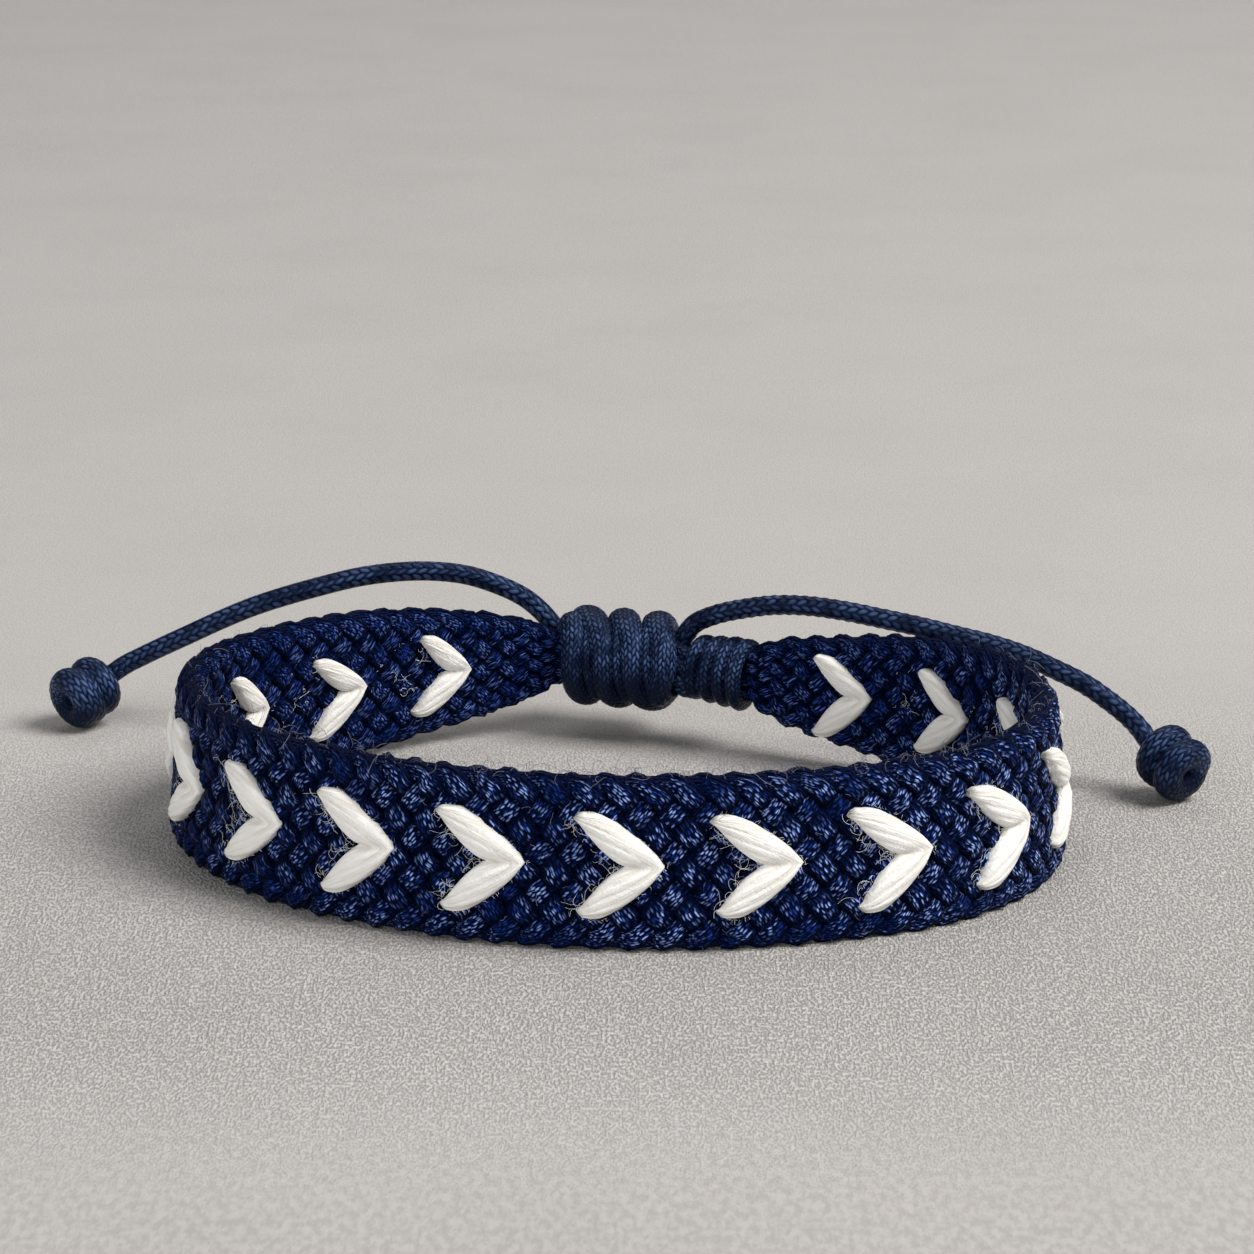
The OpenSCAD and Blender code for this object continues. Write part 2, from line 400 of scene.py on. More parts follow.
def swept(nodes, inputs):
    """Sweeps a ring along each line, with plies round it and the picks of a round plait."""
    curve = nodes.value("GeometryNodeMeshToCurve", {}, {"Mesh": inputs["Geometry"]})
    sockets = {"Resolution": inputs["Sides"], "Radius": 1.0}
    circle = nodes.value("GeometryNodeCurvePrimitiveCircle", {}, sockets, "Curve")
    line, ring = place_stored(nodes, curve, "centre"), place_stored(nodes, circle, "ring")
    sockets = {"Curve": line, "Profile Curve": ring, "Fill Caps": True}
    mesh = nodes.value("GeometryNodeCurveToMesh", {}, sockets)
    across, outward, _ = nodes.named("ring", "FLOAT_VECTOR").parts()
    along = nodes.named("along", "FLOAT")
    angle = outward.arctan2(across)
    valley = 0.5 + 0.5 * (angle * inputs["Plies"]).cosine()
    columns = (angle * nodes.named("columns", "FLOAT") * 0.5).cosine()
    picks = columns * (along * inputs["Picks per metre"] * math.tau).cosine()
    size = 1 - inputs["Groove"] * valley + inputs["Pick depth"] * picks
    full = outward.sign() * outward.absolute() ** inputs["Fullness"]
    side = nodes.scaled(nodes.named("side", "FLOAT_VECTOR"), across * size)
    facing = nodes.scaled(nodes.named("facing", "FLOAT_VECTOR"), full * size)
    offset = nodes.vector_math("ADD", side, facing)
    place = nodes.vector_math("ADD", nodes.named("centre", "FLOAT_VECTOR"), offset)
    return nodes.value("GeometryNodeSetPosition", {}, {"Geometry": mesh, "Position": place})


SWEEP_INPUTS = {
    **dict.fromkeys(("Plies", "Groove", "Fullness", "Picks per metre", "Pick depth"), "Float"),
    "Sides": "Int",
    "Material": "Material",
}


def sweep_tree():
    nodes, inputs = geometry_tree("Strand along a line", SWEEP_INPUTS)
    return end_tree(nodes, swept(nodes, inputs), inputs["Material"])


def loop_sweep_tree():
    nodes, inputs = geometry_tree("Strand along the loop", {**SWEEP_INPUTS, "Guide": "Object"})
    bent = bent_on_loop(nodes, swept(nodes, inputs), inputs["Guide"])
    return end_tree(nodes, bent, inputs["Material"])


def stitch_row_tree():
    """A row of like stitches on the loop, each a little different in size and lean."""
    inputs = dict.fromkeys(("First", "Pitch", "Height", "Turn"), "Float")
    inputs.update(Stitch="Object", Guide="Object", Count="Int", Seed="Int", Material="Material")
    nodes, inputs = geometry_tree("Stitches along the loop", inputs)
    start = nodes.vector(inputs["First"], 0.0, inputs["Height"])
    step = nodes.vector(inputs["Pitch"], 0.0, 0.0)
    sockets = {"Count": inputs["Count"], "Start Location": start, "Offset": step}
    row = nodes.value("GeometryNodeMeshLine", {}, sockets)
    stitch = nodes.value("GeometryNodeObjectInfo", {}, {"Object": inputs["Stitch"]}, "Geometry")
    lean = varied(nodes, (0, -0.05, -0.015), (0, 0.05, 0.015), inputs["Seed"])
    size = varied(nodes, (0.96, 0.94, 0.97), (1.04, 1.06, 1.03), inputs["Seed"] + 1)
    rotation = nodes.vector_math("ADD", nodes.vector(0.0, 0.0, inputs["Turn"]), lean)
    sockets = {"Points": row, "Instance": stitch, "Rotation": rotation, "Scale": size}
    stitches = nodes.value("GeometryNodeInstanceOnPoints", {}, sockets)
    real = nodes.value("GeometryNodeRealizeInstances", {}, {"Geometry": stitches})
    return end_tree(nodes, bent_on_loop(nodes, real, inputs["Guide"]), inputs["Material"])


def unit(vectors):
    return vectors / np.linalg.norm(vectors, axis=-1, keepdims=True)


def smooth_way(points, spacing):
    """Places on a smooth curve through given points, about a spacing apart."""
    points = np.array(points)
    steps = np.linalg.norm(np.diff(points, axis=0), axis=1) / spacing
    counts = [max(2, round(step)) for step in steps]
    at = [number + np.arange(count) / count for number, count in enumerate(counts)]
    return np.vstack([smooth_rows(points, np.concatenate(at)), points[-1]])


def run_length(places):
    return np.concatenate([[0], np.cumsum(np.linalg.norm(np.diff(places, axis=0), axis=1))])


def framed(places, facing, half_width, half_thick, start=0.0, **looks):
    """A line whose section faces a given way at each place."""
    ahead = unit(np.gradient(places, axis=0))
    facing = facing - (facing * ahead).sum(axis=1, keepdims=True) * ahead
    facing = unit(facing)
    side = np.cross(facing, ahead)
    width = np.broadcast_to(half_width, len(places))[:, None]
    thick = np.broadcast_to(half_thick, len(places))[:, None]
    return Line(places, side * width, facing * thick, run_length(places) + start, **looks)


def round_line(places, radius, start=0.0, **looks):
    """A line of a round cord, whose section turns as little as it can."""
    ahead = unit(np.gradient(places, axis=0))
    facing = np.empty_like(places)
    facing[0] = np.cross(ahead[0], (0.3, 0.5, 0.8))
    for i in range(1, len(places)):
        facing[i] = facing[i - 1] - facing[i - 1].dot(ahead[i]) * ahead[i]
    return framed(places, facing, radius, radius, start, **looks)


def lit_from_above(out):
    """The painted highlight on a winding's picks: most where it faces half up, with painted shade
    where it faces down.
    """
    return np.clip(1.15 * np.exp(-(((out[:, 2] - 0.45) / 0.50) ** 2)), 0.05, 1)


def finer(line, factor):
    """The line with picks that are shorter by a factor."""
    return line._replace(along=line.along * factor)


def line_object(name, lines):
    """A mesh of open lines that carries what the sweep reads."""
    mesh = bpy.data.meshes.new(name)
    edges = []
    first = 0
    for line in lines:
        count = len(line.places)
        edges += [(first + i, first + i + 1) for i in range(count - 1)]
        first += count
    mesh.from_pydata(np.vstack([line.places for line in lines]).tolist(), edges, [])
    for label in ("side", "facing"):
        stored = mesh.attributes.new(label, "FLOAT_VECTOR", "POINT")
        values = np.vstack([getattr(line, label) for line in lines])
        stored.data.foreach_set("vector", values.ravel())
    for label in ("along", "crest", "columns"):
        stored = mesh.attributes.new(label, "FLOAT", "POINT")
        values = [np.broadcast_to(getattr(line, label), len(line.places)) for line in lines]
        stored.data.foreach_set("value", np.concatenate(values))
    return scene_object(name, mesh)


def scene_object(name, data):
    made = bpy.data.objects.new(name, data)
    bpy.context.scene.collection.objects.link(made)
    return made


def made_piece(source, tree, values, slot, *nodes):
    """Runs a tree on an object, keeps the result as a plain mesh and hands it to the frame."""
    modifier = source.modifiers.new("Make", "NODES")
    modifier.node_group = tree
    for item in tree.interface.items_tree:
        if item.in_out == "INPUT" and item.name in values:
            modifier[item.identifier] = values[item.name]
    graph = bpy.context.evaluated_depsgraph_get()
    mesh = bpy.data.meshes.new_from_object(
        source.evaluated_get(graph), preserve_all_data_layers=True, depsgraph=graph
    )
    source.modifiers.clear()
    source.data = mesh
    mesh.name = source.name
    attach(source, BODY)
    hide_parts(*nodes)
    return source


def cord_values(settings, radius):
    """What the sweep needs for a round plaited cord."""
    return {
        "Sides": 20,
        "Plies": 8.0,
        "Groove": 0.0,
        "Fullness": 1.0,
        "Picks per metre": 1 / settings.pick_length,
        "Pick depth": settings.pick_depth / radius,
        "Material": waxed_cord(settings),
    }


def loop_places():
    """The loop's centre line on the floor, with its spare ends."""
    lengths = np.cumsum([0, *(length for length, _ in BENDS)])
    turns = LOOP_HEADING + np.cumsum([0, *(turn for _, turn in BENDS)])
    end = lengths[-1] + GUIDE_SPARE
    count = round((end + GUIDE_SPARE) / GUIDE_STEP)
    along = np.linspace(-GUIDE_SPARE, end, count + 1)
    fine = 20
    every = np.linspace(-GUIDE_SPARE, end, count * fine + 1)
    heading = np.radians(np.interp((every[1:] + every[:-1]) / 2, lengths, turns))
    steps = np.diff(every)[:, None] * np.stack([np.cos(heading), np.sin(heading)], axis=1)
    way = np.vstack([[0, 0], np.cumsum(steps, axis=0)])
    way += LOOP_START - np.array([np.interp(0, every, way[:, k]) for k in (0, 1)])
    places = np.zeros((len(along), 3))
    places[:, :2] = way[::fine]
    return places


def loop_guide():
    """The object that flat work is bent along; it is made once and removed at the end."""
    guide = bpy.data.objects.get("loop_guide")
    if guide is None:
        places = loop_places()
        mesh = bpy.data.meshes.new("loop_guide")
        mesh.from_pydata(places.tolist(), [(i, i + 1) for i in range(len(places) - 1)], [])
        guide = scene_object("loop_guide", mesh)
    return guide


def tree_named(name, build):
    return bpy.data.node_groups.get(name) or build()


def sweep():
    return tree_named("Strand along a line", sweep_tree)


def loop_sweep():
    return tree_named("Strand along the loop", loop_sweep_tree)


def material(name, build):
    """A material of that name, built once from what its shader's inputs get."""
    made = bpy.data.materials.get(name)
    if made is None:
        made = bpy.data.materials.new(name)
        made.use_nodes = True
        made.node_tree.nodes.clear()
        nodes = Nodes(made.node_tree)
        shader = nodes.add("ShaderNodeBsdfPrincipled", {}, build(nodes))
        nodes.add("ShaderNodeOutputMaterial", {}, {"Surface": shader.outputs[0]})
    return made


def attribute(nodes, name, output="Fac"):
    return nodes.value("ShaderNodeAttribute", {"attribute_name": name}, {}, output)


def mixed(nodes, factor, first, second):
    """Two colours mixed by a factor."""
    sockets = {0: factor, 6: first, 7: second}
    return nodes.value("ShaderNodeMix", {"data_type": "RGBA"}, sockets, 2)


def chance(nodes, x, y, z=0.0):
    """A random number from 0 to 1 for each cell."""
    cell = nodes.vector(x, y, z)
    return nodes.value("ShaderNodeTexWhiteNoise", {"noise_dimensions": "3D"}, {"Vector": cell})


def noise(nodes, vector, scale, detail=2.0):
    sockets = {"Vector": vector, "Scale": scale, "Detail": detail}
    return nodes.value("ShaderNodeTexNoise", {}, sockets)


def bump(nodes, height, distance, strength=1.0):
    sockets = {"Height": height, "Distance": distance, "Strength": strength}
    return nodes.value("ShaderNodeBump", {}, sockets)


def object_place(nodes):
    return nodes.value("ShaderNodeTexCoord", {}, {}, "Object")


def ring_turn(nodes):
    """The place round a strand, as a share of a turn."""
    across, outward, _ = attribute(nodes, "ring", "Vector").parts()
    return outward.arctan2(across) / math.tau


def spot(nodes, across, along, width, length):
    """1 in the middle of an oval in a cell of width and length 1, and 0 round it."""
    x = (across - 0.5) / width
    y = (along - 0.5) / length
    return 1 - (x * x + y * y).ramp(0.0, 1.2)


def floss(settings):
    """Dark blue floss: flat yarns of shiny filaments, with short dashes of painted light and
    glints, and painted shade at the floats' ends and between the yarns.
    """

    def build(nodes):
        yarn = ring_turn(nodes) * settings.yarns
        number = yarn.floor()
        within = yarn.fraction()
        run = attribute(nodes, "along") / settings.twist_length
        turn = run + chance(nodes, number, 3.0) + within * 0.6
        cells = nodes.add(
            "ShaderNodeTexVoronoi",
            {"voronoi_dimensions": "2D"},
            {"Vector": nodes.vector(yarn * 1.9, turn, 0.0), "Scale": 1.0, "Randomness": 0.75},
        )
        dash = 1 - Value(nodes, cells.outputs["Distance"]).ramp(0.14, 0.44)
        luck = Value(nodes, cells.outputs["Color"]).parts()[0]
        middle = attribute(nodes, "ring", "Vector").parts()[1].absolute()
        patch = noise(nodes, object_place(nodes), 300.0)
        fibre = noise(nodes, nodes.vector(yarn * 3.0, turn * 0.6, 0.0), 1.0)
        # Painted shade: darker towards a float's ends, at its sides and between the yarns, varied
        # at random by the fibre noise; painted light on its middle.
        top = attribute(nodes, "crest").ramp(0.45, 0.98) * middle.ramp(0.55, 0.95)
        crown = within.ramp(0.0, 0.4) * (1 - within.ramp(0.6, 1.0))
        plain = top * crown * fibre.ramp(0.2, 0.6)
        body = mixed(nodes, plain, settings.shade_colour, settings.colour)
        # The glints fade to the left and on the far side, away from the key light.
        right, back, _ = object_place(nodes).parts()
        far = back.ramp(-0.005, 0.015)
        shine = (0.12 + 0.88 * right.ramp(-0.042, -0.010)) * (1 - 0.55 * far)
        # The painted lit twists are dimmer to the left and brighter on the far side, whose inner
        # faces face the key light.
        painted_lit_level = 0.45 + 0.55 * shine + 0.85 * far
        lit = mixed(nodes, dash * (0.15 + 0.85 * top) * painted_lit_level, body, settings.painted_lit_colour)
        # Painted glints: the brightest twists, in random clusters on the floats' lit middles.
        glint = dash * top * luck.ramp(0.20, 0.62) * patch.ramp(0.32, 0.52) * shine
        return {
            "Base Color": mixed(nodes, glint, lit, settings.painted_glint_colour),
            "Roughness": 0.60 - 0.25 * dash,
            "Normal": bump(nodes, dash + 1.4 * crown + 0.6 * fibre, 0.00006),
            "Specular IOR Level": 0.13,
            "Specular Tint": (0.06, 0.22, 1.0, 1),
        }

    return material("navy_floss_plies", build)


def cotton(settings):
    """Off-white cotton: soft plies of fine fibres with darker streaks and painted shade in their
    creases, greyer where they go into the band.
    """

    def build(nodes):
        along, across, tail = attribute(nodes, "lay", "Vector").parts()
        drawn = nodes.vector(along * 900.0, across * 30.0 + along * 7000.0, 0.0)
        streak = noise(nodes, drawn, 1.0, 4.0)
        drawn = nodes.vector(along * 620.0, across * 5.0 + along * 1500.0, 3.0)
        crease = noise(nodes, drawn, 1.0, 1.0)
        place = object_place(nodes)
        soft = noise(nodes, place, 1100.0)
        curl = noise(nodes, place, 5200.0, 1.0)
        # Darker along the fibre streaks, and painted shade in the creases.
        clear = (0.4 + 0.6 * streak.ramp(0.20, 0.55)) * (0.42 + 0.58 * crease.ramp(0.34, 0.52))
        shade = mixed(nodes, clear, settings.shade_colour, settings.colour)
        height = 0.7 * streak + 2.2 * crease + 1.2 * soft + 0.5 * curl
        return {
            "Base Color": mixed(nodes, tail, shade, settings.tail_colour),
            "Roughness": 0.9,
            "Normal": bump(nodes, height, 0.00010, 0.8),
            "Specular IOR Level": 0.2,
            "Sheen Weight": 0.25,
            "Sheen Roughness": 0.5,
        }

    return material("white_cotton", build)


def waxed_cord(settings):
    """Round plaited cord with a thin wax finish: slanting picks, paler in worn patches with a
    painted highlight where a winding faces half up, and painted shade between the picks and below.
    """

    def build(nodes):
        around = ring_turn(nodes) * attribute(nodes, "columns") + 0.5
        column = around.floor()
        odd = (column * 0.5).fraction() * 2
        run = attribute(nodes, "along") / settings.pick_length + 0.5 * odd + 0.5
        slanted = run + (around.fraction() - 0.5) * (odd - 0.5) * 1.1
        pick = spot(nodes, around.fraction(), slanted.fraction(), 0.50, 0.42)
        luck = chance(nodes, column, slanted.floor(), 2.0)
        grain = noise(nodes, nodes.vector(around * 3.0, run * 2.0 + around * 4.0, 0.0), 1.0)
        wear = noise(nodes, object_place(nodes), 420.0)
        crest = attribute(nodes, "crest")
        # Painted shade between the picks and where a winding faces down, varied at random by the
        # grain.
        plain = pick * grain.ramp(0.2, 0.6) * (0.3 + 0.7 * crest)
        body = mixed(nodes, plain, settings.shade_colour, settings.colour)
        # Painted highlight where a winding faces half up, on random worn patches.
        wear_and_highlight = pick * crest * wear.ramp(0.34, 0.54) * luck.ramp(-0.2, 0.7)
        return {
            "Base Color": mixed(nodes, wear_and_highlight, body, settings.pick_colour),
            "Roughness": 0.36 - 0.08 * pick,
            "Normal": bump(nodes, pick + 0.5 * grain, 0.00008, 0.8),
            "Specular IOR Level": 0.20,
            "Specular Tint": (0.34, 0.52, 1.0, 1),
        }

    return material("waxed_round_cord", build)


def fibre_material(name, colour):
    return material(name, lambda nodes: {"Base Color": colour, "Roughness": 0.7})


def floor_material(settings):
    """Pale grey board with a fine grain."""

    def build(nodes):
        place = object_place(nodes)
        # The grain is drawn out in depth, as raised fibres look from the camera's low angle.
        drawn = nodes.vector_math("MULTIPLY", place, (1.0, 0.45, 1.0))
        fine = noise(nodes, drawn, 5600.0, 6.0)
        soft = noise(nodes, drawn, 1900.0, 2.0)
        broad = noise(nodes, place, 45.0, 4.0)
        # The grain is plainest just in front of the bracelet, softer before that and fades behind.
        depth = place.parts()[1]
        front = 1 - depth.ramp(-0.072, -0.036)
        near = (1 - front) * (1 - 0.85 * depth.ramp(-0.012, 0.040))
        grain = near * fine.ramp(0.36, 0.62) + 0.26 * front * soft.ramp(0.3, 0.7)
        pale = 0.525 - 0.37 * near - 0.21 * front + grain
        fleck = mixed(nodes, pale, settings.shade_colour, settings.colour)
        return {
            "Base Color": mixed(nodes, broad.ramp(0.3, 0.9) * 0.15, fleck, settings.shade_colour),
            "Roughness": 0.9,
            "Normal": bump(nodes, grain, 0.00012),
        }

    return material("pale_board", build)


def braid_line(settings, number, wobble):
    """One strand's way through the flat plait: across the rows and back, over and under."""
    strands = settings.rows + 1
    unit_length = settings.pitch / 2
    count = round((BAND_TO - BAND_FROM) / unit_length * settings.steps)
    steps = np.arange(count + 1) / settings.steps
    along = BAND_FROM + steps * unit_length
    phase = (steps - 2 * number) % (2 * strands)
    # A ramp down over one pass and up over the next, rounded at both edges.
    half = strands / 2
    across = np.where(phase <= strands, half - phase, phase - 3 * half)
    bend = 1.3
    straight = np.minimum(abs(across), half - bend)
    beyond = np.clip(abs(across) - (half - bend), 0, None)
    across = np.sign(across) * (straight + 0.63 * np.sin(beyond / bend * np.pi / 2))
    # Over and under. Past each edge a strand goes from one face to the other in one row's time.
    sign = np.where(phase <= strands, -1, 1)
    # Painted light: most on a float's middle, with painted shade towards its ends.
    crest = abs(np.cos(np.pi * phase))
    lift = sign * (np.cos(np.pi * phase) - settings.bias)
    lift = np.sign(lift) * np.minimum(abs(lift), 1) ** settings.flatness
    low = abs(phase - strands) < 1
    lift = np.where(low, -np.cos(np.pi / 2 * (phase - strands + 1)), lift)
    ahead = (phase + 1) % (2 * strands)
    high = ahead < 2
    lift = np.where(high, -np.cos(np.pi / 2 * ahead), lift)
    rim_share = np.clip(2 - np.minimum(abs(phase - strands), abs(ahead - 1)), 0, 1)
    share, thin = band_share(along)
    row = row_height(settings)
    places = np.stack([along, lift * settings.lift * thin, MID + across * row * share], axis=1)
    places += wobble.normal(0, settings.unevenness, places.shape)
    slope = np.arctan2(row * share, unit_length)
    narrow = np.sin(slope) / np.sin(np.arctan2(row, unit_length))
    width = settings.width / 2 * narrow * (1 - settings.rim_narrowing * rim_share)
    width = width * (1 + wobble.normal(0, 0.045, len(along)))
    facing = np.tile((0.0, 1.0, 0.0), (len(along), 1))
    # Strands that turn over an edge get painted light on their rim as well.
    crest = np.maximum(crest, 0.75 * rim_share)
    line = framed(places, facing, width, settings.thickness / 2 * thin, crest=crest)
    # The twists look longer on the way down, where more of a strand is seen.
    stretch = np.where(phase[1:] <= strands, settings.stretch, 1.0)
    run = np.cumsum(np.diff(line.along) / stretch)
    return line._replace(along=number + np.concatenate([[0], run]))


def band_share(along):
    """The band's height there as a share of its full height, and how thin it is."""
    height = np.interp(along, *np.transpose(HEIGHTS))
    return height / BAND_HEIGHT, 0.4 + 0.6 * np.minimum(1, height / 0.006)


def inner_line(step, up, half_width, half_thick, **looks):
    """A straight strand inside the plait, at a height over its middle where the band is full."""
    along = np.arange(BAND_FROM, BAND_TO, step)
    share, thin = band_share(along)
    places = np.stack([along, 0 * along, MID + up * share], axis=1)
    facing = np.tile((0.0, 1.0, 0.0), (len(along), 1))
    return framed(places, facing, half_width * share, half_thick * thin, **looks)


def core_line(settings, row):
    """A strand inside the plait, where the strands of two rows cross."""
    up = (row - settings.rows / 2) * row_height(settings)
    return inner_line(0.001, up, 0.00045, 0.0004)


def edge_line(sign):
    """A strand inside an edge, seen in the notches between the strands that turn there."""
    inset = 0.00086
    up = sign * (BAND_HEIGHT / 2 - inset)
    # The edge strand gets less painted light than the floats.
    return inner_line(0.0005, up, 0.00070, 0.00052, start=sign, crest=0.6)


def row_height(settings):
    """Height of one row of floats where the band is full."""
    return (BAND_HEIGHT - settings.thickness) / (settings.rows + 0.1)


def v_mesh(name, size, rise, plies):
    """One V stitch, flat: its point at the origin and its legs behind it, from tail to tail."""
    table = np.array(LEG)
    count = 26
    share = np.linspace(0, len(table) - 1, count)
    rows = smooth_rows(table, share)
    crown = np.linspace(0, np.pi, 6 * plies + 1)
    rings, lay = [], []
    for sign, reach, height in ((1, size[0], size[1]), (-1, size[2], size[3])):
        leg, leg_lay = [], []
        for i, (back, back_up, front, front_up, lift) in enumerate(rows):
            place = i / (count - 1)
            p = (1 - np.cos(crown)) / 2
            ply = p * plies + 3.6 * place
            groove = 0.20 * (1 - abs(np.sin(np.pi * ply))) ** 2
            dome = np.sin(crown) ** 0.6 - groove * np.sin(crown)
            x = -(front + (back - front) * p) * reach
            z = sign * (front_up + (back_up - front_up) * p) * height
            y = rise * (lift * np.minimum(1, dome) if lift > 0 else dome * 0.2 + lift)
            leg.append(np.stack([x, y, z], axis=1))
            tail = np.clip(1.40 - place * 5.0, 0, 1)
            leg_lay.append(np.stack([place * height + 0 * p, p, tail + 0 * p], axis=1))
        if sign < 0:
            leg, leg_lay = leg[-2::-1], leg_lay[-2::-1]
        rings += leg
        lay += leg_lay
    return lofted(name, rings, lay)


def smooth_rows(table, at):
    """Rows of a table, read smoothly between its own."""
    ends = np.vstack([2 * table[0] - table[1], table, 2 * table[-1] - table[-2]])
    i = np.minimum(at.astype(int), len(table) - 2)
    t = (at - i)[:, None]
    a, b, c, d = (ends[i + k] for k in range(4))
    return b + t / 2 * (c - a + t * (2 * a - 5 * b + 4 * c - d + t * (3 * b - a - 3 * c + d)))


def lofted(name, rings, lay):
    """A closed mesh through open arched rings, with a flat underside a little below them."""
    sunk = 0.00035
    n = len(rings[0])
    places, carried = [], []
    for ring, values in zip(rings, lay):
        under = np.array([ring[-1] - (0, sunk, 0), ring[0] - (0, sunk, 0)])
        places += [*ring, *under]
        carried += [*values, values[-1], values[0]]
    size = n + 2
    faces = []
    for i in range(len(rings) - 1):
        for k in range(size):
            a, b = i * size + k, i * size + (k + 1) % size
            faces.append((a, b, b + size, a + size))
    last = (len(rings) - 1) * size
    faces.append(tuple(range(size - 1, -1, -1)))
    faces.append(tuple(range(last, last + size)))
    mesh = bpy.data.meshes.new(name)
    mesh.from_pydata([tuple(p) for p in places], [], faces)
    stored = mesh.attributes.new("lay", "FLOAT_VECTOR", "POINT")
    stored.data.foreach_set("vector", np.array(carried).ravel())
    return scene_object(name, mesh)


def in_knot(places):
    """Places along, behind and above the sliding knot's axis, in the frame."""
    turn = math.radians(KNOT_TURNED)
    c, s = math.cos(turn), math.sin(turn)
    return np.asarray(places) @ np.array([[c, s, 0], [-s, c, 0], [0, 0, 1]]) + KNOT_AT


def helix(turns, first, pitch, radius, start_degrees, steps):
    """A helix round the x axis: places, and the way out from the axis."""
    turn = np.linspace(0, turns, round(turns * steps) + 1)
    angle = np.radians(start_degrees) + math.tau * turn
    out = np.stack([np.zeros_like(angle), -np.cos(angle), np.sin(angle)], axis=1)
    places = out * np.reshape(radius, (-1, 1))
    places[:, 0] = first + turn * pitch
    return places, out


def number_property(name, description, default):
    return bpy.props.FloatProperty(name=name, description=description, default=default)


def count_property(name, description, default):
    return bpy.props.IntProperty(name=name, description=description, default=default, min=1)


def length_property(name, description, default):
    return bpy.props.FloatProperty(
        name=name, description=description, default=default, unit="LENGTH"
    )


def colour_property(name, description, *default):
    return bpy.props.FloatVectorProperty(
        name=name, description=description, subtype="COLOR", size=4, default=(*default, 1)
    )


class BandSettings(bpy.types.PropertyGroup):
    """The plaited band and its dark blue floss."""

    rows: count_property("Rows", "Rows of floats over the height", 8)
    pitch: length_property("Pitch", "Distance between two floats of one row", 0.0022)
    width: length_property("Strand width", "Width of one strand", 0.0019)
    thickness: length_property("Strand thickness", "Thickness of one strand", 0.00102)
    lift: length_property("Lift", "How far a float's middle is from the band's", 0.00056)
    bias: number_property("Bias", "How much longer the floats are on the way down", 0.2)
    stretch: number_property("Stretch", "How much longer the twists are on the way down", 1.35)
    flatness: number_property("Flatness", "Lower is flatter on top", 0.42)
    fullness: number_property("Fullness", "Lower is a squarer strand section", 0.72)
    rim_narrowing: number_property("Rim narrowing", "How far an edge draws a strand together", 0.1)
    unevenness: length_property("Unevenness", "Spread of the strands' places", 0.00004)
    steps: count_property("Steps", "Sections for each row crossed", 4)
    plies: count_property("Plies", "Plies round one strand", 10)
    yarns: count_property("Yarns", "Fine yarns round one strand", 14)
    groove: number_property("Groove", "Depth between plies, as a share", 0.13)
    twist_length: length_property("Twist length", "Length of one twist of a ply", 0.0003)
    colour: colour_property("Colour", "The floss", 0.0014, 0.0048, 0.032)
    # Painted shade at the floats' ends and sides and between the yarns.
    shade_colour: colour_property("Shade", "Its darker parts", 0.0007, 0.0014, 0.007)
    # Painted light on the lit twists.
    painted_lit_colour: colour_property("Lit twists", "Its lit twists", 0.008, 0.034, 0.23)
    # Painted glints on the brightest twists.
    painted_glint_colour: colour_property("Glints", "Its brightest twists", 0.35, 0.5, 1.0)


class StitchSettings(bpy.types.PropertyGroup):
    """The white V stitches."""

    pitch: length_property("Pitch", "Distance from one V to the next", 0.00908)
    first_outer: length_property("First outer V", "Its point, from the left tip", 0.0106)
    first_inner: length_property("First inner V", "Its point, from the left tip", 0.0066)
    outer_count: count_property("Outer Vs", "Their number", 15)
    inner_count: count_property("Inner Vs", "Their number", 16)
    rise: length_property("Rise", "How far a V stands out", 0.00075)
    plies: count_property("Plies", "Plies across a leg", 3)
    colour: colour_property("Colour", "The cotton", 0.93, 0.912, 0.868)
    # Darker fibre streaks, and painted shade in the creases.
    shade_colour: colour_property("Shade", "Its darker fibres", 0.62, 0.58, 0.5)
    tail_colour: colour_property("Tails", "Where it enters the band", 0.2, 0.2, 0.17)


class CordSettings(bpy.types.PropertyGroup):
    """The waxed cord and its knots."""

    diameter: length_property("Diameter", "Of the waxed cord", 0.0015)
    pick_length: length_property("Pick length", "Length of one pick of the plait", 0.0008)
    pick_depth: length_property("Pick depth", "How far a pick stands out", 0.00003)
    colour: colour_property("Colour", "The cord", 0.007, 0.0145, 0.048)
    # Painted shade between the picks and where a winding faces down.
    shade_colour: colour_property("Shade", "Its darker parts", 0.0014, 0.0036, 0.014)
    # Worn picks, with painted highlight where a winding faces half up.
    pick_colour: colour_property("Picks", "Its worn picks", 0.07, 0.118, 0.27)


class LintSettings(bpy.types.PropertyGroup):
    """The loose fibres."""

    lint_per_stitch: count_property("Lint", "Pale fibres at one V", 84)
    fuzz_count: count_property("Fuzz", "Dark hairs on the band", 460)
    fibre_length: length_property("Fibre length", "Of a long fibre", 0.0018)
    lint_radius: length_property("Lint radius", "Of a pale fibre", 0.0000115)
    fuzz_radius: length_property("Fuzz radius", "Of a dark hair", 0.000014)
    lint_colour: colour_property("Lint colour", "Pale fibres", 0.92, 0.92, 0.9)
    fuzz_colour: colour_property("Fuzz colour", "Dark hairs", 0.17, 0.18, 0.24)


class StageSettings(bpy.types.PropertyGroup):
    """The camera and the floor."""

    lens: number_property("Lens", "Focal length in millimetres", 120.57)
    camera_place: bpy.props.FloatVectorProperty(
        name="Camera",
        description="Its place",
        subtype="TRANSLATION",
        default=(0.00106, -0.2883, 0.09766),
    )
    camera_tilt: bpy.props.FloatProperty(
        name="Camera tilt",
        description="From straight down",
        subtype="ANGLE",
        default=math.radians(74),
    )
    colour: colour_property("Floor", "The board", 0.56, 0.537, 0.52)
    shade_colour: colour_property("Floor grain", "Its darker grain", 0.26, 0.247, 0.237)


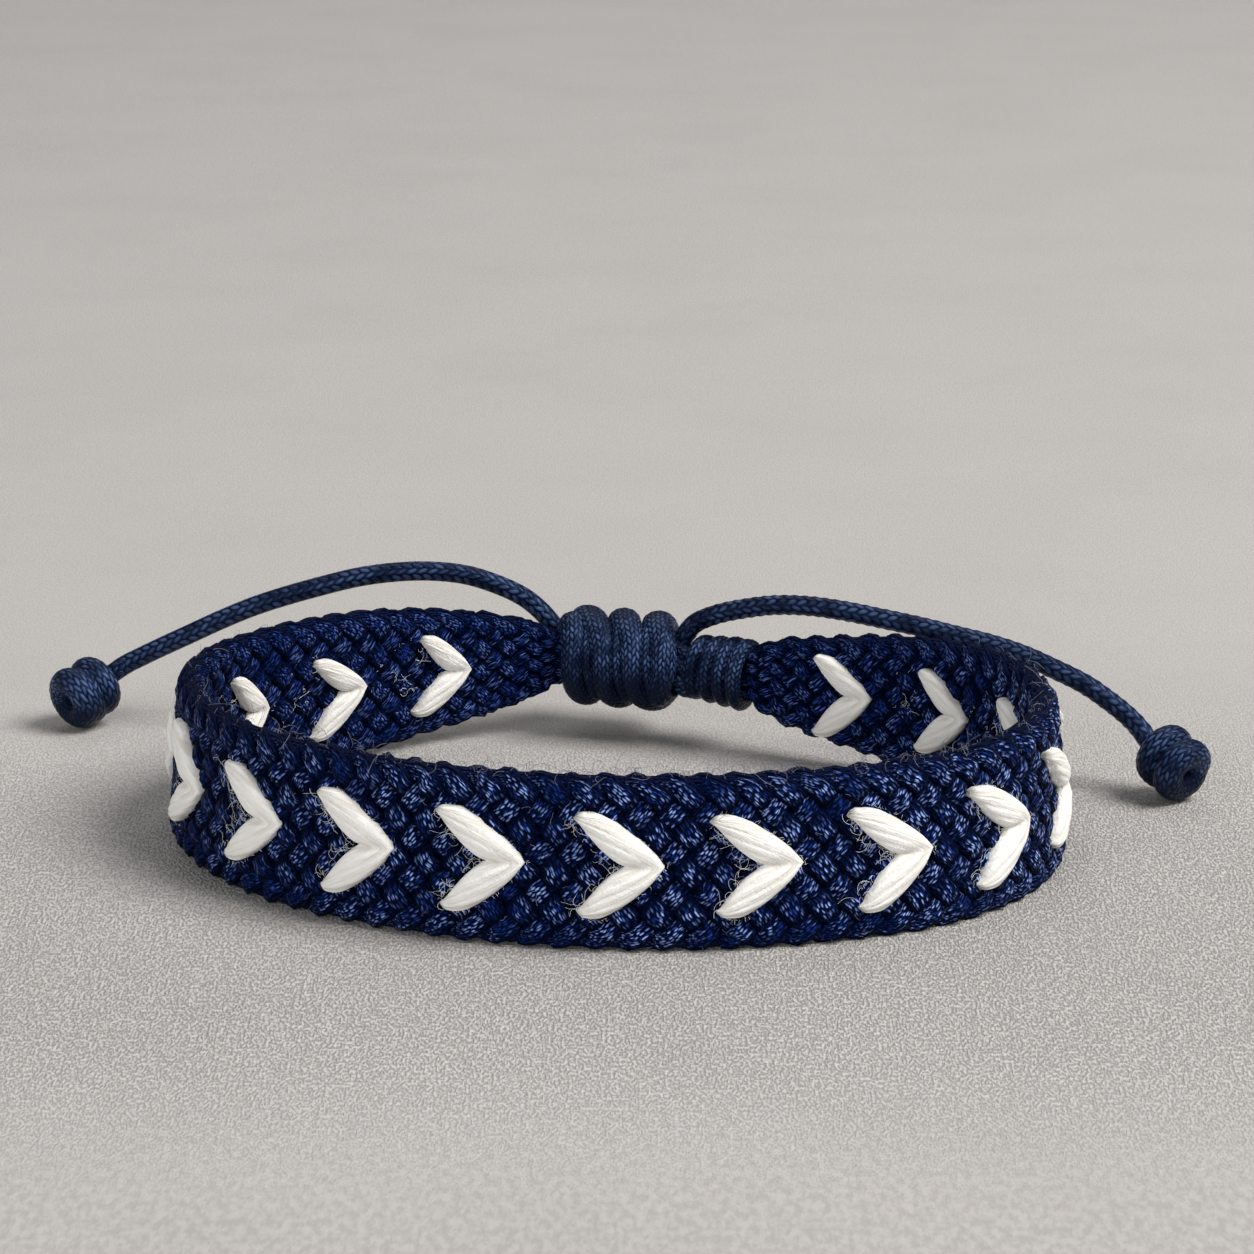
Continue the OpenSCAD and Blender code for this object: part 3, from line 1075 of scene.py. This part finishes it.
class BRACELET_OT_stage(bpy.types.Operator):
    """Adds the camera, the floor and the lights"""

    bl_idname = "bracelet.stage"
    bl_label = "Stage"
    group = "bracelet_stage"

    def execute(self, context):
        settings = context.scene.bracelet_stage
        data = bpy.data.cameras.new("camera")
        data.lens = settings.lens
        data.sensor_width = 36
        data.clip_start = 0.01
        camera = scene_object("camera", data)
        camera.location = settings.camera_place
        camera.rotation_euler = (settings.camera_tilt, 0, 0)
        context.scene.camera = camera
        self.add_floor(settings)
        for light in LIGHTS:
            self.add_light(*light)
        world = bpy.data.worlds.new("studio")
        world.use_nodes = True
        background = world.node_tree.nodes["Background"]
        background.inputs["Color"].default_value = WORLD_COLOUR
        background.inputs["Strength"].default_value = WORLD_STRENGTH
        context.scene.world = world
        context.scene.view_settings.view_transform = "Standard"
        return {"FINISHED"}

    def add_floor(self, settings):
        reach = 1.5
        below = -0.00002
        mesh = bpy.data.meshes.new("floor")
        corners = [(-reach, -reach), (reach, -reach), (reach, reach), (-reach, reach)]
        mesh.from_pydata([(x, y, below) for x, y in corners], [], [(0, 1, 2, 3)])
        mesh.materials.append(floor_material(settings))
        scene_object("floor", mesh)

    def add_light(self, name, place, size, power, colour):
        data = bpy.data.lights.new(name, "AREA")
        data.size = size
        data.energy = power
        data.color = colour
        light = scene_object(name, data)
        light.location = place
        light.rotation_euler = (-light.location).to_track_quat("-Z", "Y").to_euler()


class BRACELET_OT_pull_cords(bpy.types.Operator):
    """Makes the two free cords and their end knots"""

    bl_idname = "bracelet.pull_cords"
    bl_label = "Pull cords and end knots"
    group = "bracelet_cords"

    def execute(self, context):
        settings = context.scene.bracelet_cords
        sides = (("left", PULL_LEFT, END_LEFT_WAY), ("right", PULL_RIGHT, END_RIGHT_WAY))
        for side, route, way in sides:
            knot = self.end_knot(settings, side, way, route)
            self.pull_cord(settings, side, route, knot)
        return {"FINISHED"}

    def pull_cord(self, settings, side, route, knot):
        places = smooth_way(route, 0.00014)
        radius = settings.diameter / 2
        # The free cord gets an even, middling share of painted highlight and shade.
        source = line_object(f"pull_cord_{side}_plait", [round_line(places, radius, crest=0.6)])
        values = cord_values(settings, radius)
        piece = made_piece(source, sweep(), values, "waxed_cord", f"pull_cord_{side}")

    def end_knot(self, settings, side, way, route):
        """A knot of two lobes of cord round its own end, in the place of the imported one."""
        low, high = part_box(f"end_knot_{side}")
        centre = np.array((low + high) / 2)
        axis = unit(np.array(way))
        across = unit(np.cross(axis, (0, 0, 1)))
        basis = np.array([axis, across, np.cross(across, axis)])
        turns = END_WINDING[-1, 0]
        turn = np.linspace(0, turns, 200)
        radius = np.interp(turn, *END_WINDING[:, (0, 2)].T)
        places, out = helix(turns, 0, 0, radius, 200, (len(turn) - 1) / turns)
        places[:, 0] = np.interp(turn, *END_WINDING[:, :2].T)
        places, out = places @ basis + centre, out @ basis
        half = 0.00112
        wound = framed(places, out, half, half, crest=lit_from_above(out), columns=20)
        # The cut end fills the middle of the knot, painted mostly in shade colour, and the cord
        # runs into it.
        stub = smooth_way([axis * a + centre for a in (-0.0014, 0, 0.0006)], 0.0002)
        tail = smooth_way([route[-2], route[-1], centre - axis * 0.0008], 0.0002)
        lines = [
            finer(wound, 1.6),
            round_line(stub, 0.0007, crest=0.2),
            round_line(tail, 0.98 * settings.diameter / 2),
        ]
        source = line_object(f"end_knot_{side}_turns", lines)
        values = {**cord_values(settings, 0.00125), "Sides": 36}
        return made_piece(source, sweep(), values, "waxed_cord", f"end_knot_{side}")


class BRACELET_OT_band(bpy.types.Operator):
    """Plaits the band from its strands"""

    bl_idname = "bracelet.band"
    bl_label = "Plaited band"
    group = "bracelet_band"

    def execute(self, context):
        settings = context.scene.bracelet_band
        wobble = np.random.default_rng(5)
        lines = [braid_line(settings, number, wobble) for number in range(settings.rows + 1)]
        values = {
            "Sides": 3 * settings.plies,
            "Plies": float(settings.plies),
            "Groove": settings.groove,
            "Fullness": settings.fullness,
            "Picks per metre": 0.0,
            "Pick depth": 0.0,
            "Material": floss(settings),
            "Guide": loop_guide(),
        }
        for label, share in (("odd", lines[::2]), ("even", lines[1::2])):
            source = line_object(f"band_strands_{label}", share)
            made_piece(source, loop_sweep(), values, "navy_floss", "band")
        inside = [core_line(settings, row) for row in np.arange(0.6, settings.rows)]
        source = line_object("band_core", [*inside, edge_line(-1), edge_line(1)])
        values.update(Sides=14, Groove=0.0)
        made_piece(source, loop_sweep(), values, "navy_floss", "band")
        return {"FINISHED"}


class BRACELET_OT_stitches(bpy.types.Operator):
    """Sews the two rows of white V stitches"""

    bl_idname = "bracelet.stitches"
    bl_label = "V stitches"
    group = "bracelet_stitches"

    def execute(self, context):
        settings = context.scene.bracelet_stitches
        surface = context.scene.bracelet_band
        half = surface.lift + surface.thickness / 2 - 0.0001
        rows = (
            ("outer", OUTER_SIZE, settings.first_outer, settings.outer_count, 0.0),
            ("inner", INNER_SIZE, settings.first_inner, settings.inner_count, math.pi),
        )
        for face, size, first, count, turn in rows:
            stitch = v_mesh(f"{face}_stitch", size, settings.rise, settings.plies)
            for vertex in stitch.data.vertices:
                vertex.co.y += half
            values = {
                "Stitch": stitch,
                "Guide": loop_guide(),
                "First": first,
                "Pitch": settings.pitch,
                "Count": count,
                "Height": MID,
                "Turn": turn,
                "Seed": 4,
                "Material": cotton(settings),
            }
            tree = tree_named("Stitches along the loop", stitch_row_tree)
            name = f"{face}_stitch_row"
            source = scene_object(name, bpy.data.meshes.new(name))
            made_piece(source, tree, values, "white_floss", f"{face}_stitches")
            bpy.data.objects.remove(stitch)
        return {"FINISHED"}


class BRACELET_OT_slide_knot(bpy.types.Operator):
    """Winds the sliding knot and lays the two cords through it"""

    bl_idname = "bracelet.slide_knot"
    bl_label = "Sliding knot"
    group = "bracelet_cords"

    def execute(self, context):
        settings = context.scene.bracelet_cords
        # A filling keeps the turns from showing light between them; it is painted mostly in shade
        # colour and stands for the shade inside the knot.
        reach = np.linspace(-0.0044, 0.0050, 40)
        filling = in_knot(np.stack([reach, 0 * reach, 0 * reach], axis=1))
        bulge = 0.0023 * np.sqrt(1.02 - (reach / 0.0050) ** 6)
        lines = [self.winding(), round_line(filling, bulge, crest=0.0)]
        lines += [self.second_strand(*row) for row in SECOND_STRAND]
        source = line_object("slide_knot_winding", lines)
        values = {**cord_values(settings, 0.001), "Sides": 32}
        made_piece(source, sweep(), values, "waxed_cord", "slide_knot")
        radius = settings.diameter / 2
        cores = []
        for core, pull in ((CORE_LEFT, PULL_RIGHT), (CORE_RIGHT, PULL_LEFT)):
            way = smooth_way([*in_knot(core), *pull[1:3]], 0.0002)
            # The core cords get an even, middling share of painted highlight and shade.
            cores.append(round_line(way, 0.96 * radius, crest=0.5))
        source = line_object("core_cords", cores)
        values = cord_values(settings, radius)
        made_piece(source, sweep(), values, "waxed_cord", "core_cord_left", "core_cord_right")
        return {"FINISHED"}

    def winding(self):
        """The turns run down the front and bow to the left there, more so on the right."""
        first = KNOT_FRONT - KNOT_PITCH * KNOT_START / 360
        places, out = helix(KNOT_TURNS, first, KNOT_PITCH, KNOT_RADIUS, -KNOT_START, 130)
        places, out = places * (1, 1, -1), out * (1, 1, -1)
        share = np.linspace(0, 1, len(places))
        rise = np.radians(-KNOT_START + 360 * KNOT_TURNS * share)
        turned = rise / math.tau
        bow = np.interp(turned, (0.4, 2.4, 3.1), (-0.0009, -0.0001, 0))
        places[:, 0] += bow * (1 - np.cos(rise))
        places[:, 0] += 0.00065 * np.sin(rise) ** 3 - 0.00015 * np.sin(2 * rise)
        # Both ends are tucked in.
        places[:, 0] += 0.0014 * np.clip(-rise / 1.7, 0, 1) ** 1.5
        places[:, 0] -= 0.0021 * np.clip((turned - 3) * 4, 0, 1)
        tuck = np.clip(np.minimum(share * 36, (1 - share) * 28), 0, 1)
        places[:, 1:] *= (0.35 + 0.65 * np.sin(np.pi / 2 * tuck))[:, None]
        # The turns are thicker above and below, and the first crest most of all.
        above, below = np.clip(-np.sin(rise), 0, 1), np.clip(np.sin(rise), 0, 1)
        first_crest = np.exp(-(((turned - 0.73) / 0.2) ** 2))
        swell = 1 + 0.28 * above**2 + 0.18 * below**2 + 0.10 * first_crest
        swell = swell * (0.5 + 0.5 * tuck)
        half = 0.00098
        out = in_knot(out) - KNOT_AT
        wound = framed(in_knot(places), out, half * swell, half, crest=lit_from_above(out), columns=20)
        return finer(wound, 1.7)

    def second_strand(self, turn, reach, slope, low):
        """A short stretch of the strand that is seen in front, in the groove after a turn."""
        away = np.linspace(-low, 0.27, 90)
        angle = math.tau * away
        dive = np.clip(np.maximum(away - 0.14, 0.13 - low - away) / 0.13, 0, 1) ** 2
        out = np.stack([np.zeros_like(angle), -np.cos(angle), np.sin(angle)], axis=1)
        places = out * (KNOT_RADIUS + reach - 0.0016 * dive)[:, None]
        places[:, 0] = KNOT_FRONT + KNOT_PITCH * turn - 0.0019 * slope * away
        out = in_knot(out) - KNOT_AT
        strand = framed(in_knot(places), out, 0.00042, 0.00046, crest=lit_from_above(out), columns=8)
        return finer(strand, 1.7)


class BRACELET_OT_end_wrap(bpy.types.Operator):
    """Winds the whipping round the band's gathered end and fans its strands into the knot"""

    bl_idname = "bracelet.end_wrap"
    bl_label = "Whipping"
    group = "bracelet_cords"

    def execute(self, context):
        settings = context.scene.bracelet_cords
        share = np.linspace(0, 1, 320)
        angle = np.radians(150) + math.tau * WHIP_TURNS * share
        tucked = np.clip(np.minimum(share, 1 - share) * 14, 0, 1)
        up = (0.00195 + 0.00045 * share) * (0.72 + 0.28 * tucked)
        out = (0.00165 + 0.00035 * share) * (0.55 + 0.45 * tucked)
        along = WHIP_FROM + (WHIP_TO - WHIP_FROM) * share
        places = np.stack([along, -out * np.cos(angle), MID + up * np.sin(angle)], axis=1)
        facing = np.stack([np.zeros_like(angle), -np.cos(angle) / out, np.sin(angle) / up], axis=1)
        facing = unit(facing)
        wound = framed(places, facing, 0.00062, 0.00060, crest=lit_from_above(facing), columns=12)
        lines = [finer(wound, 1.8)]
        for up_start, out_start, up_end, out_end, radius in FAN:
            route = [
                (0.1612, out_start, MID + 0.9 * up_start),
                (0.1604, out_start, MID + up_start),
                (0.1593, (out_start + out_end) / 2, MID + 0.35 * up_start + 0.65 * up_end),
                (0.1584, 0.85 * out_end, MID + 0.92 * up_end),
                (0.1568, 0.6 * out_end, MID + 0.7 * up_end),
            ]
            # The fanned strands get an even, middling share of painted highlight and shade.
            strand = round_line(smooth_way(route, 0.00012), radius, crest=0.5, columns=12)
            lines.append(finer(strand, 1.8))
        source = line_object("end_wrap_winding", lines)
        values = {**cord_values(settings, 0.00062), "Guide": loop_guide()}
        made_piece(source, loop_sweep(), values, "waxed_cord", "end_wrap")
        return {"FINISHED"}


class BRACELET_OT_lint(bpy.types.Operator):
    """Adds the loose fibres: pale lint round the stitches and dark fuzz on the band"""

    bl_idname = "bracelet.lint"
    bl_label = "Lint and fuzz"
    group = "bracelet_lint"

    def execute(self, context):
        settings = context.scene.bracelet_lint
        stitches = context.scene.bracelet_stitches
        surface = context.scene.bracelet_band
        face = surface.lift + surface.thickness / 2
        luck = np.random.default_rng(11)
        many = settings.lint_per_stitch
        rows = (
            (stitches.first_outer, stitches.outer_count, many, face, OUTER_SIZE),
            (stitches.first_inner, stitches.inner_count, many // 3, -face, INNER_SIZE),
        )
        lint = []
        for first, count, fibres, side, size in rows:
            for number in range(count):
                point = first + number * stitches.pitch
                if LINT_FROM < point < LINT_TO:
                    for _ in range(fibres):
                        lint.append(self.lint_fibre(settings, luck, point, side, size))
        pale = fibre_material("pale_lint", settings.lint_colour)
        self.add_fibres("stitch_lint", lint, pale, "white_floss")
        fuzz = [self.fuzz_fibre(settings, luck, face) for _ in range(settings.fuzz_count)]
        dark = fibre_material("dark_fuzz", settings.fuzz_colour)
        self.add_fibres("band_fuzz", fuzz, dark, "navy_floss")
        return {"FINISHED"}

    def lint_fibre(self, settings, luck, point, face, size):
        """A loose fibre at an edge of a leg of a V: curled behind it, short and straight before."""
        curled = luck.random() < 0.5
        row = smooth_rows(np.array(LEG), np.array([luck.uniform(1.5, 7.2)]))[0]
        sign = luck.choice((-1, 1))
        reach, height = size[:2] if sign > 0 else size[2:]
        back, up = row[:2] if curled else row[2:4]
        off = 1 if curled else -1
        gap = luck.uniform(-0.00005, 0.00030 if curled else 0.0)
        x = point - reach * back - 0.7 * off * gap
        z = MID + sign * (height * up - 0.7 * off * gap)
        count = luck.integers(10, 17) if curled else 4
        heading = math.atan2(-sign * off, -off) + luck.normal(0, 0.9)
        bend = luck.normal(0, 0.12, count) + luck.choice((-1, 1)) * luck.uniform(0.02, 0.32)
        least, most = (0.20, 0.85) if curled else (0.10, 0.22)
        length = settings.fibre_length * luck.uniform(least, most)
        angles = heading + np.cumsum(bend)
        lifts = 0.00006 + abs(np.cumsum(luck.normal(0, 0.00004, count)))
        out = face + math.copysign(1, face) * lifts
        step = length / count
        along, above = x + step * np.cumsum(np.cos(angles)), z + step * np.cumsum(np.sin(angles))
        places = np.stack([along, out, above], axis=1)
        return round_line(places, settings.lint_radius * luck.uniform(0.7, 1.2))

    def fuzz_fibre(self, settings, luck, face):
        """A fine hair that stands off the band, most often at its upper edge."""
        along = luck.triangular(FUZZ_FROM, FUZZ_MOST, FUZZ_TO)
        share, _ = band_share(along)
        where = luck.random()
        half = BAND_HEIGHT / 2 * share
        if where < 0.62:
            # A curl over the upper edge.
            count = 12
            root = (along, luck.uniform(-0.5, 0.5) * face, MID + half - 0.0001)
            bend = luck.normal(0, 0.12, count) + luck.choice((-1, 1)) * luck.uniform(0.05, 0.45)
            angle = math.pi / 2 + luck.normal(0, 0.7) + np.cumsum(bend)
            step = settings.fibre_length * luck.uniform(0.25, 0.85) / count
            drift = np.cumsum(luck.normal(0, 0.3, count))
            ways = np.stack([np.cos(angle), drift, np.sin(angle)], axis=1)
            places = np.array(root) + step * np.vstack([[0, 0, 0], np.cumsum(ways, axis=0)])
            return round_line(places, settings.fuzz_radius * luck.uniform(0.8, 1.3))
        if where < 0.72:
            root = (along, luck.uniform(0.3, 0.9) * face, MID - half + 0.0004)
            way = (luck.normal(0, 0.8), 1.0, -0.1)
        else:
            side = luck.choice((-1, 1))
            root = (along, side * 0.9 * face, MID + luck.uniform(-0.85, 0.85) * half)
            way = (luck.normal(0, 0.8), side * 0.9, luck.normal(0.2, 0.6))
        count = 9
        step = settings.fibre_length * luck.uniform(0.15, 0.50) / count
        ways = unit(np.array(way)) + np.cumsum(luck.normal(0, 0.55, (count, 3)), axis=0)
        places = np.array(root) + step * np.vstack([[0, 0, 0], np.cumsum(unit(ways), axis=0)])
        places[:, 2] = np.maximum(places[:, 2], 0.0001)
        return round_line(places, settings.fuzz_radius * luck.uniform(0.8, 1.2))

    def add_fibres(self, name, lines, finish, slot):
        source = line_object(name, lines)
        values = {**dict.fromkeys(SWEEP_INPUTS, 0.0), "Sides": 3, "Fullness": 1.0}
        values.update(Material=finish, Guide=loop_guide())
        made_piece(source, loop_sweep(), values, slot)


class BRACELET_PT_panel(bpy.types.Panel):
    """Lists the bracelet's operators and sizes"""

    bl_idname = "BRACELET_PT_panel"
    bl_label = "Woven bracelet"
    bl_space_type = "VIEW_3D"
    bl_region_type = "UI"
    bl_category = "Bracelet"

    def draw(self, context):
        for group, settings in SETTINGS.items():
            box = self.layout.box()
            for name in settings.__annotations__:
                box.prop(getattr(context.scene, group), name)
            for operator in OPERATORS:
                if operator.group == group:
                    box.operator(operator.bl_idname)


SETTINGS = {
    "bracelet_stage": StageSettings,
    "bracelet_cords": CordSettings,
    "bracelet_band": BandSettings,
    "bracelet_stitches": StitchSettings,
    "bracelet_lint": LintSettings,
}
OPERATORS = (
    BRACELET_OT_stage,
    BRACELET_OT_pull_cords,
    BRACELET_OT_band,
    BRACELET_OT_stitches,
    BRACELET_OT_slide_knot,
    BRACELET_OT_end_wrap,
    BRACELET_OT_lint,
)
CLASSES = (*SETTINGS.values(), *OPERATORS, BRACELET_PT_panel)


def register():
    for made in CLASSES:
        bpy.utils.register_class(made)
    for name, group in SETTINGS.items():
        setattr(bpy.types.Scene, name, bpy.props.PointerProperty(type=group))


def unregister():
    for name in SETTINGS:
        delattr(bpy.types.Scene, name)
    for made in reversed(CLASSES):
        bpy.utils.unregister_class(made)


def main():
    register()
    for operator in OPERATORS:
        group, name = operator.bl_idname.split(".")
        getattr(getattr(bpy.ops, group), name)()
    bpy.data.objects.remove(loop_guide())


if __name__ == "__main__":
    main()
